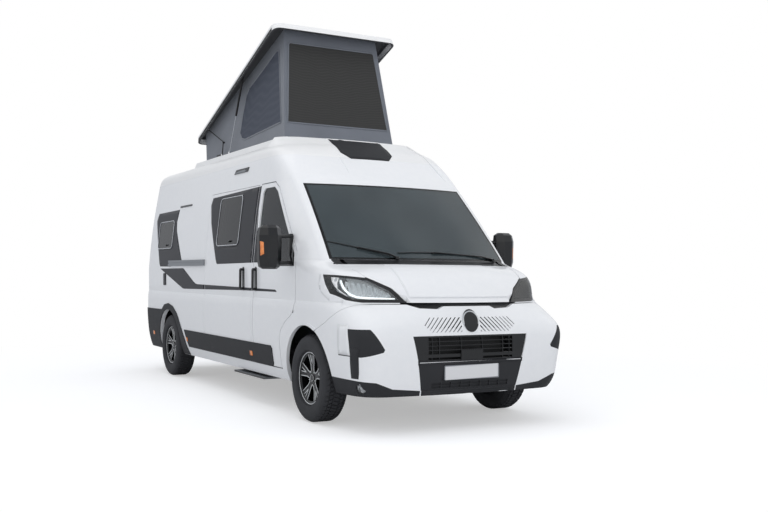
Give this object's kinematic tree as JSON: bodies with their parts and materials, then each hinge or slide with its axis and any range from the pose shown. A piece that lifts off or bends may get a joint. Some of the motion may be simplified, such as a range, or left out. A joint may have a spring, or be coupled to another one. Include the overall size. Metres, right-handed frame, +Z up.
{
  "type": "camper van with pop-up roof",
  "caption": "High-roof camper van with a raised pop-up roof and fabric tent, opening cab and rear doors, bonnet, steering front wheels and a sliding entry step.",
  "frame": {"origin": "middle of the footprint of the whole van, on the ground", "axes": "+X towards the front of the van, +Y towards its left, +Z up"},
  "size_m": [5.9967, 2.66, 3.7712],
  "materials": {
    "white_paint": "gloss",
    "white_laminate": "satin",
    "chassis_steel": "satin",
    "black_plastic": "satin",
    "aluminium": "satin",
    "lamp_plastic": "gloss",
    "tinted_glass": "gloss",
    "acrylic_window": "gloss",
    "interior_plastic": "matte",
    "seat_foam": "matte",
    "furniture_board": "satin",
    "tent_fabric": "matte",
    "black_steel": "satin",
    "alloy": "gloss",
    "rubber": "matte"
  },
  "bodies": {
    "root": {"floor_pan": "chassis_steel", "chassis_frame": "chassis_steel", "side_wall_right": "white_paint", "side_wall_left": "white_paint", "roof_panel": "white_paint", "roof_fairing": "white_paint", "cab_shell": "white_paint", "sliding_door": "white_paint", "slide_rail": "aluminium", "front_wings": "white_paint", "front_bumper": "white_paint", "bumper_trim": "black_plastic", "number_plate": "aluminium", "grille": "black_plastic", "fog_lamps_and_badge": "lamp_plastic", "headlamps": "lamp_plastic", "lamp_lenses": "lamp_plastic", "awning_lamp": "lamp_plastic", "windscreen": "tinted_glass", "scuttle": "black_plastic", "side_windows": "acrylic_window", "side_trims": "black_plastic", "tail_lamps": "lamp_plastic", "rear_header": "white_paint", "rear_bumper": "black_plastic", "engine_block": "chassis_steel", "front_subframe": "chassis_steel", "rear_axle": "chassis_steel", "underfloor_tanks": "black_plastic", "dashboard": "interior_plastic", "cab_seats": "seat_foam", "living_furniture": "furniture_board"},
    "bonnet": {"bonnet": "white_paint"},
    "cab_door_right": {"cab_door_right": "white_paint", "door_glass_right": "tinted_glass", "door_hardware_right": "black_plastic"},
    "cab_door_left": {"cab_door_left": "white_paint", "door_glass_left": "tinted_glass", "door_hardware_left": "black_plastic"},
    "rear_door_right": {"rear_door_right": "white_paint", "rear_glass_right": "tinted_glass"},
    "rear_door_left": {"rear_door_left": "white_paint", "rear_glass_left": "tinted_glass"},
    "steer_right": {"knuckle_right": "chassis_steel"},
    "steer_left": {"knuckle_left": "chassis_steel"},
    "pop_roof": {"pop_roof": "white_laminate", "tent": "tent_fabric"},
    "roof_lower_links": {"roof_lower_links": "black_steel"},
    "roof_upper_arms": {"roof_upper_arms": "black_steel"},
    "strut_cylinders": {"strut_cylinders": "black_steel"},
    "strut_rods": {"strut_rods": "black_steel"},
    "entry_step": {"entry_step": "aluminium"},
    "wheel_front_left": {"rim_front_left": "alloy", "tyre_front_left": "rubber"},
    "wheel_front_right": {"rim_front_right": "alloy", "tyre_front_right": "rubber"},
    "wheel_rear_left": {"rim_rear_left": "alloy", "tyre_rear_left": "rubber"},
    "wheel_rear_right": {"rim_rear_right": "alloy", "tyre_rear_right": "rubber"}
  },
  "joints": [
    {"name": "pop_roof_lower_link", "type": "hinge", "parent": "root", "child": "roof_lower_links", "pos_m": [-1.166, 0, 2.59], "axis": [0, -1, 0], "range_deg": [-60.75, 0]},
    {"name": "pop_roof_upper_arm", "type": "hinge", "parent": "roof_lower_links", "child": "roof_upper_arms", "pos_m": [-1.137, 0, 2.733], "axis": [0, -1, 0], "range_deg": [0, 85.94]},
    {"name": "pop_roof_tilt", "type": "hinge", "parent": "roof_upper_arms", "child": "pop_roof", "pos_m": [-1.67412, 0, 2.94177], "axis": [0, -1, 0], "range_deg": [-45.07, 0], "deforming": ["tent"]},
    {"name": "roof_strut_swing", "type": "hinge", "parent": "pop_roof", "child": "strut_cylinders", "pos_m": [-0.5181, 0, 3.37308], "axis": [0, -1, 0], "range_deg": [-41.35, 0]},
    {"name": "roof_strut_slide", "type": "slide", "parent": "strut_cylinders", "child": "strut_rods", "axis": [0.4539, 0, 0.8911], "range_m": [0, 0.32994]},
    {"name": "wheel_front_left_spin", "type": "hinge", "parent": "steer_left", "child": "wheel_front_left", "pos_m": [2.051, 0.905, 0.364], "axis": [0, 1, 0], "continuous": true},
    {"name": "wheel_front_right_spin", "type": "hinge", "parent": "steer_right", "child": "wheel_front_right", "pos_m": [2.051, -0.905, 0.364], "axis": [0, 1, 0], "continuous": true},
    {"name": "wheel_rear_left_spin", "type": "hinge", "parent": "root", "child": "wheel_rear_left", "pos_m": [-1.984, 0.895, 0.364], "axis": [0, 1, 0], "continuous": true},
    {"name": "wheel_rear_right_spin", "type": "hinge", "parent": "root", "child": "wheel_rear_right", "pos_m": [-1.984, -0.895, 0.364], "axis": [0, 1, 0], "continuous": true},
    {"name": "steer_left_turn", "type": "hinge", "parent": "root", "child": "steer_left", "pos_m": [2.051, 0.782, 0.364], "axis": [0, 0, 1], "range_deg": [-35, 35]},
    {"name": "steer_right_turn", "type": "hinge", "parent": "root", "child": "steer_right", "pos_m": [2.051, -0.782, 0.364], "axis": [0, 0, 1], "range_deg": [-35, 35]},
    {"name": "bonnet_hinge", "type": "hinge", "parent": "root", "child": "bonnet", "pos_m": [2.161, 0, 1.296], "axis": [0, -1, 0], "range_deg": [0, 40]},
    {"name": "cab_door_right_hinge", "type": "hinge", "parent": "root", "child": "cab_door_right", "pos_m": [1.766, -1.01, 1.1], "axis": [0, 0, 1], "range_deg": [0, 60]},
    {"name": "cab_door_left_hinge", "type": "hinge", "parent": "root", "child": "cab_door_left", "pos_m": [1.766, 1.01, 1.1], "axis": [0, 0, -1], "range_deg": [0, 60]},
    {"name": "rear_door_right_hinge", "type": "hinge", "parent": "root", "child": "rear_door_right", "pos_m": [-2.989, -0.8725, 1.33], "axis": [0, 0, 1], "range_deg": [0, 180]},
    {"name": "rear_door_left_hinge", "type": "hinge", "parent": "root", "child": "rear_door_left", "pos_m": [-2.989, 0.8725, 1.33], "axis": [0, 0, -1], "range_deg": [0, 180]},
    {"name": "entry_step_slide", "type": "slide", "parent": "root", "child": "entry_step", "axis": [0, -1, 0], "range_m": [0, 0.22]}
  ],
  "couplings": [
    {"joint": "pop_roof_lower_link", "follows": "pop_roof_tilt", "ratio": 1.3468},
    {"joint": "pop_roof_upper_arm", "follows": "pop_roof_tilt", "ratio": -1.9057},
    {"joint": "roof_strut_swing", "follows": "pop_roof_tilt", "ratio": 0.91635},
    {"joint": "roof_strut_slide", "follows": "pop_roof_tilt", "m_per_rad": -0.4192},
    {"joint": "steer_right_turn", "follows": "steer_left_turn", "ratio": 1}
  ]
}
